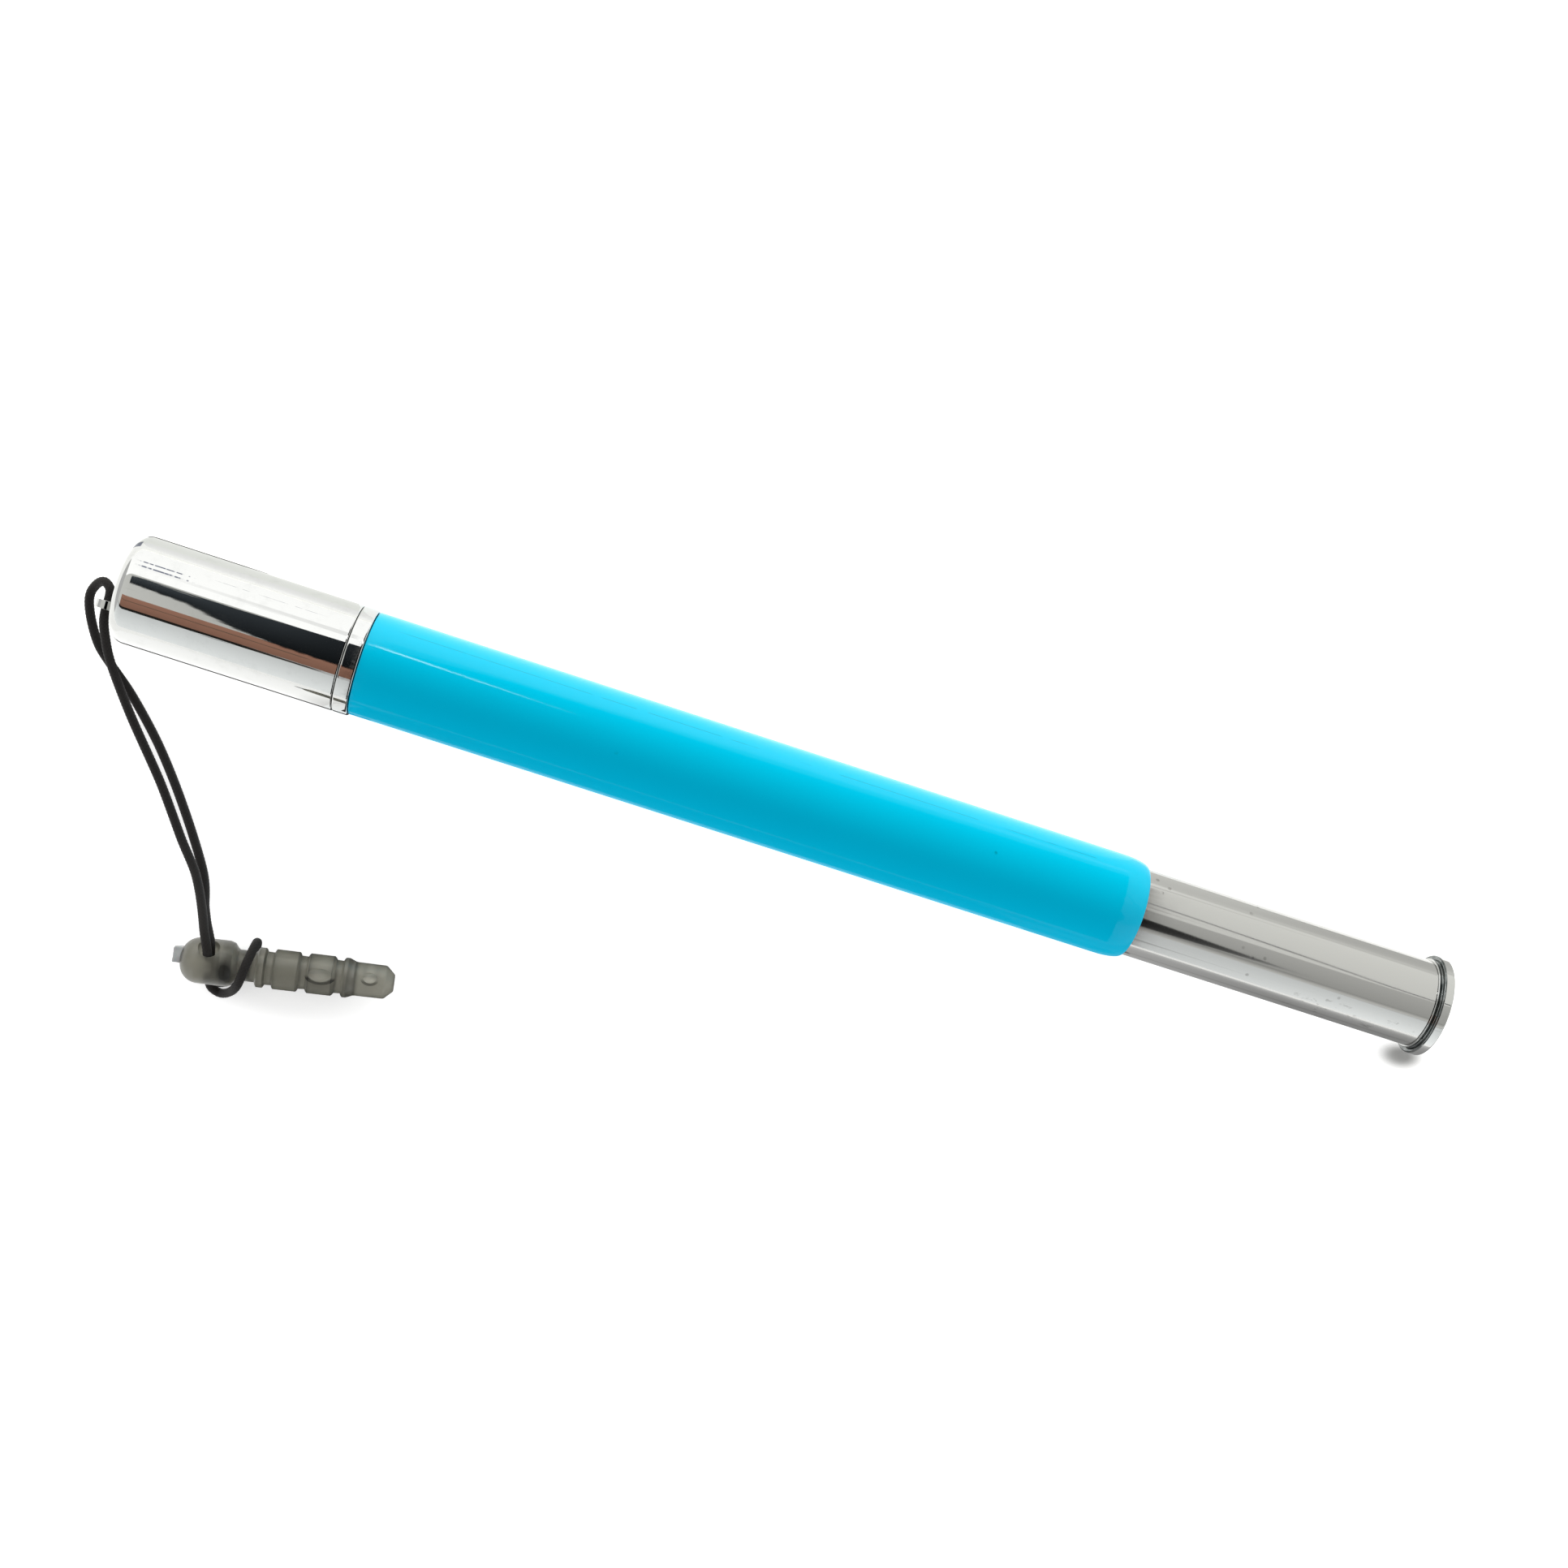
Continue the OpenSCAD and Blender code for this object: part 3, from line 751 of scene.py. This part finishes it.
def add_card(name, colour, radius, rows, ragged=0.0):
    """A studio card that only shows in reflections. Each row is (x, a, b, light a, light b): a
    place along X in mm, the card's two sides there, and its light at them. With a radius the card
    is curved about the pen's axis and the sides are angles from straight up, plus towards +Y;
    without one it lies on the table and they are places along Y in mm."""
    steps = 12
    between = 16 if ragged else 6
    points = []
    light = []
    table = [tuple(p + (q - p) * i / between for p, q in zip(row, after))
             for row, after in zip(rows, rows[1:]) for i in range(between)] + [rows[-1]]
    for n, (x, a, b, light_a, light_b) in enumerate(table):
        a += ragged * (math.sin(2.7 * n) + math.sin(5.1 * n + 1))
        for i in range(steps + 1):
            side = a + (b - a) * i / steps
            t = math.radians(side)
            curved = radius and (x * MM, radius * math.sin(t), AXIS_Z + radius * math.cos(t))
            points.append(curved or (x * MM, side * MM, 0.3 * MM))
            light.append(light_a + (light_b - light_a) * i / steps)
    faces = [(r * (steps + 1) + i, r * (steps + 1) + i + 1,
              (r + 1) * (steps + 1) + i + 1, (r + 1) * (steps + 1) + i)
             for r in range(len(table) - 1) for i in range(steps)]
    mesh = bpy.data.meshes.new(name)
    mesh.from_pydata(points, [], faces)
    mesh.attributes.new("light", "FLOAT", "POINT").data.foreach_set("value", light)
    mesh.materials.append(glow(name, colour))
    card = bpy.data.objects.new(name, mesh)
    bpy.context.scene.collection.objects.link(card)
    card.visible_camera = card.visible_diffuse = card.visible_shadow = False
    card.visible_transmission = False


def add_light(name, place, size, power, colour):
    """A soft area light that faces the pen."""
    data = bpy.data.lights.new(name, "AREA")
    data.shape = "RECTANGLE"
    data.size, data.size_y = size
    data.energy = power
    data.color = colour
    light = bpy.data.objects.new(name, data)
    bpy.context.scene.collection.objects.link(light)
    light.location = place
    light.rotation_euler = (-Vector(place)).to_track_quat("-Z", "Y").to_euler()
    light.visible_glossy = False


def white_tabletop():
    """White table that shines, so that most shadows vanish in it. It shines less below the plug
    and the tube's end, where shadows show; by the tube's end its glow fades out and its colour is
    darker, a painted shadow."""
    material, surface, place = start_material("white_table")
    slant = 0.12
    lit = 1.0
    # Patches where the table shines less: below the plug, so that its real shadow shows, and by the
    # tube's end, where it goes dark as painted shadow.
    for x, y, long, wide, depth in ((-35.8, -29.2, 11.0, 3.6, 0.42), (60.6, -5.1, 2.6, 1.5, 1.0)):
        lit = (1 - away(place, (x, y, 0), slant, (long, wide)).above(1.15, 0.25) * depth) * lit
    # Painted shadow by the tube's end: the table's colour is darker there.
    dark_patch = away(place, (60.9, -4.9, 0), slant, (2.3, 1.3)).above(1.1, 0.2)
    white = place.noise(30, 2).blend((0.80, 0.80, 0.80), (0.82, 0.82, 0.82))
    set_surface(surface, Base_Color=dark_patch.blend(white, (0.42, 0.42, 0.42)),
                Roughness=0.6, Specular_IOR_Level=0.1, Emission_Strength=1.0,
                Emission_Color=lit.blend((0.0, 0.0, 0.0), (0.74, 0.74, 0.74)))
    return material


def add_studio():
    """A white table under a pale sky, a warm window along one side, and cards that only show in
    reflections: bright ones beside the pen, and dark ones above the middle of it."""
    scene = bpy.context.scene
    scene.view_settings.view_transform = "Standard"
    deselect()
    bpy.ops.mesh.primitive_plane_add(size=4, location=(0, 0, -0.01 * MM))
    table = bpy.context.object
    table.name = "table"
    table.data.materials.append(white_tabletop())
    world = bpy.data.worlds.new("studio")
    world.use_nodes = True
    world.node_tree.nodes["Background"].inputs["Color"].default_value = (1.0, 1.0, 1.0, 1)
    world.node_tree.nodes["Background"].inputs["Strength"].default_value = 0.66
    scene.world = world
    add_light("window", (0.0, 0.60, 0.16), (1.2, 0.25), 3.2, (1.0, 1.0, 0.80))
    warm = (1.0, 1.0, 0.965)
    plain = (1.0, 1.0, 1.0)
    cool = (0.97, 1.0, 1.01)
    dark = (0.85, 1.0, 1.15)
    add_card("window_glow", plain, 0.40, [
        (-600, 27, 92, 1.7, 1.6), (-86, 27, 92, 1.65, 1.6), (-79.7, 60, 92, 1.6, 1.6),
        (-26.9, 67, 92, 1.6, 1.6), (6, 73, 92, 1.6, 1.6), (39, 79, 92, 1.6, 1.6),
        (105, 82, 92, 1.6, 1.6), (143, 84, 92, 1.5, 1.6)])
    add_card("far_window", warm, 0.40, [(143.3, 12, 92, 0.95, 1.08), (600, 12, 92, 0.95, 1.0)])
    add_card("dull_pane", plain, 0.39, [(-146, 44, 49, 1.6, 1.6), (-110, 43, 50, 1.35, 1.35),
                                        (-86, 42, 51, 1.28, 1.28)])
    add_card("grey_ceiling", warm, 0.38, [(-600, -42, 28, 0.85, 0.85), (-148, -42, 28, 0.85, 0.80),
                                          (-82, -42, 28, 0.55, 0.50)])
    add_card("far_ceiling", warm, 0.38, [(137, -29, 14, 0.50, 0.63), (600, -29, 14, 0.50, 0.63)])
    add_card("far_shade", warm, 0.38, [(137, -41, -29, 0.75, 0.30), (220, -38, -29, 0.85, 0.40),
                                       (600, -38, -29, 0.85, 0.40)])
    add_card("low_side", cool, 0.40, [(-600, -92, -47, 1.3, 0.9), (-84, -92, -47, 1.25, 0.88)])
    add_card("far_low_side", cool, 0.40, [(143, -92, -40, 0.98, 0.85), (220, -92, -40, 1.4, 0.95),
                                          (600, -92, -40, 1.4, 1.0)])
    add_card("brown_shelf", (1.0, 0.51, 0.36), 0.35, [
        (-300, -43, -18, 0.33, 0.50), (-100, -42, -18, 0.31, 0.44), (-72, -42, -18, 0.30, 0.38)])
    add_card("shelf_gap", (1.0, 0.7, 0.5), 0.345, [
        (-300, -27, -26, 0.2, 0.2), (-90, -28, -27, 0.16, 0.16)])
    add_card("black_line", (1.0, 0.9, 0.8), 0.34, [
        (-300, -48, -42, 0.02, 0.02), (-106, -47, -42, 0.02, 0.02), (-86, -45.5, -43, 0.1, 0.1)])
    add_card("black_patch", dark, 0.30, [
        (-128.0, 15, 18, 0.02, 0.03), (-126.5, 9, 24, 0.02, 0.06), (-123.2, 8, 25.5, 0.02, 0.08),
        (-112.3, 3.4, 25, 0.02, 0.07), (-101.4, -14, 25, 0.02, 0.05), (-90.6, -20, 27, 0.01, 0.05),
        (-79.7, -21, 29, 0.01, 0.03), (-73.0, -21, 30, 0.01, 0.03)], ragged=1.3)
    add_card("dark_ceiling", dark, 0.30, [
        (-72.6, -93, 42, 0.0, 0.0), (-40, -93, 60, 0.0, 0.0), (115.4, -93, 75, 0.0, 0.0)])
    add_card("black_wedge", (1.0, 1.0, 1.0), 0.30, [
        (115.5, -31, -8, 0.03, 0.02), (119.2, -30, -9, 0.05, 0.02), (132.8, -27.5, -14.5, 0.08, 0.03),
        (146, -24.5, -18.5, 0.2, 0.1), (152, -22, -21, 0.4, 0.4)])
    add_card("window_bar", plain, 0.31, [
        (118, 31.5, 34.5, 0.5, 0.5), (136, 28, 31, 0.35, 0.35), (163.8, 21.8, 24.5, 0.22, 0.22),
        (183, 16.5, 19, 0.3, 0.3), (300, 12, 14, 0.4, 0.4)])
    add_card("highlight", plain, 0.29, [
        (-71, 42.5, 43.5, 4, 4), (-68, 40.2, 44.8, 14, 14), (-55, 38.5, 42, 11, 11),
        (-40, 36.5, 38.8, 7, 7), (-24, 34.5, 35.5, 2, 2)])
    # Cards lying on the table show only in reflections, in place of the table: their light is a painted
    # reflection of it; the thin dark ones along the pen's edges are painted shade under it, and the one
    # beside the barrel darkens its reflection there.
    add_card("near_floor", plain, None, [(-64, -60, -6.9, 1.4, 1.55), (-43, -60, -6.9, 1.35, 1.5),
                                         (-40.2, -60, -6.9, 1.2, 1.0)])
    add_card("contact_line", plain, None, [(-59, -6.9, -3, 0.1, 0.1), (-36, -6.9, -3, 0.1, 0.1)])
    add_card("back_contact_line", plain, None, [(-59, 3, 6.5, 0.15, 0.15), (-50, 3, 6.5, 0.15, 0.15),
                                                (-48, 3, 6.1, 0.6, 0.6)])
    add_card("dark_floor", plain, None, [(-38.8, -80, -8.8, 0.05, 0.05), (34.5, -80, -8.8, 0.05, 0.05)])
    add_card("back_floor", (0.985, 1.0, 0.965), None, [
        (-64, 6.5, 17, 1.12, 1.2), (-40, 6.5, 17, 1.15, 1.22)])
    add_card("back_floor_far", plain, None, [(-64, 17, 60, 1.2, 1.6), (-40, 17, 60, 1.22, 1.6)])
    add_card("tube_floor", warm, None, [
        (32, 8.0, 40, 0.88, 0.85), (45, 8.6, 40, 0.80, 0.85), (50, 8.6, 40, 0.70, 0.85),
        (56, 8.3, 40, 0.65, 0.80), (64, 8, 40, 0.65, 0.80), (120, 8, 40, 0.65, 0.80)])
    add_card("tube_near_floor", plain, None, [
        (24, -60, -4.8, 0.95, 0.60), (40, -60, -4.8, 0.95, 0.45), (50, -60, -4.8, 0.95, 0.30),
        (120, -60, -4.8, 0.95, 0.28)])
    add_card("tube_floor_far", warm, None, [(32, 40, 600, 0.85, 0.95), (300, 40, 600, 0.85, 0.95)])


# ---------------------------------------------------------------- putting it together

def finish_piece(piece, material, body, slot, *nodes):
    """Gives a piece its material, and lets it ride on a body in place of CAD nodes. The slot is not
    used.
    """
    piece.data.materials.clear()
    piece.data.materials.append(material)
    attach(piece, body)
    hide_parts(*nodes)


def dress(node, material):
    """Gives a CAD node that stays in view a better material."""
    for slot in frame["nodes"][node].material_slots:
        slot.material = material


add_camera()
cord, cord_line, cord_length = make_cord()
finish_piece(cord, braid(), "cap", "cord_braid", "cord")

add_studio()

chrome = polished_chrome()
nickel = worn_nickel()
satin = turned_metal("satin_nickel", (0.60, 0.59, 0.56), 0.22)
brass = turned_metal("turned_brass", (0.78, 0.58, 0.26), 0.2)
nylon = moulded_nylon()
rubber = soft_rubber()

finish_piece(make_barrel(), blue_paint(), "barrel", "blue_paint", "barrel_shell")
finish_piece(make_collar(), chrome, "barrel", "chrome", "trim_ring")
finish_piece(make_cap(), chrome, "cap", "chrome", "cap_shell")
finish_piece(make_eyelet(), chrome, "cap", "chrome", "eyelet")
finish_piece(make_tube(), nickel, "tube", "nickel", "inner_tube")
tube_end = make_tube_end()
# The rim's plating has a line of painted shade in its cove.
rim_chrome = polished_chrome("rim_chrome", painted_shade_x=RIM_X1 - 1.02 * MM)
finish_piece(tube_end, rim_chrome, "tube", "chrome", "end_plug")
finish_piece(make_tip(), rubber, "barrel", "rubber", "rubber_tip")
plug = make_plug()
finish_piece(plug, smoky_plastic(), "cap", "smoke_plastic", "dust_plug")
stub = make_gate_stub()
finish_piece(stub, frosted_stub(), "cap", "smoke_plastic", "dust_plug")
cord.visible_glossy = False

for node, material in (
        ("cap_spigot", satin), ("tip_ferrule", chrome), ("tip_core", nylon), ("grip_o_ring", rubber),
        ("friction_sleeve", nylon), ("spring_strip_1", brass), ("spring_strip_2", brass),
        ("tail_plug", brass), ("retaining_clip", satin), ("cap_liner", nylon),
        ("eyelet_washer", brass)):
    dress(node, material)
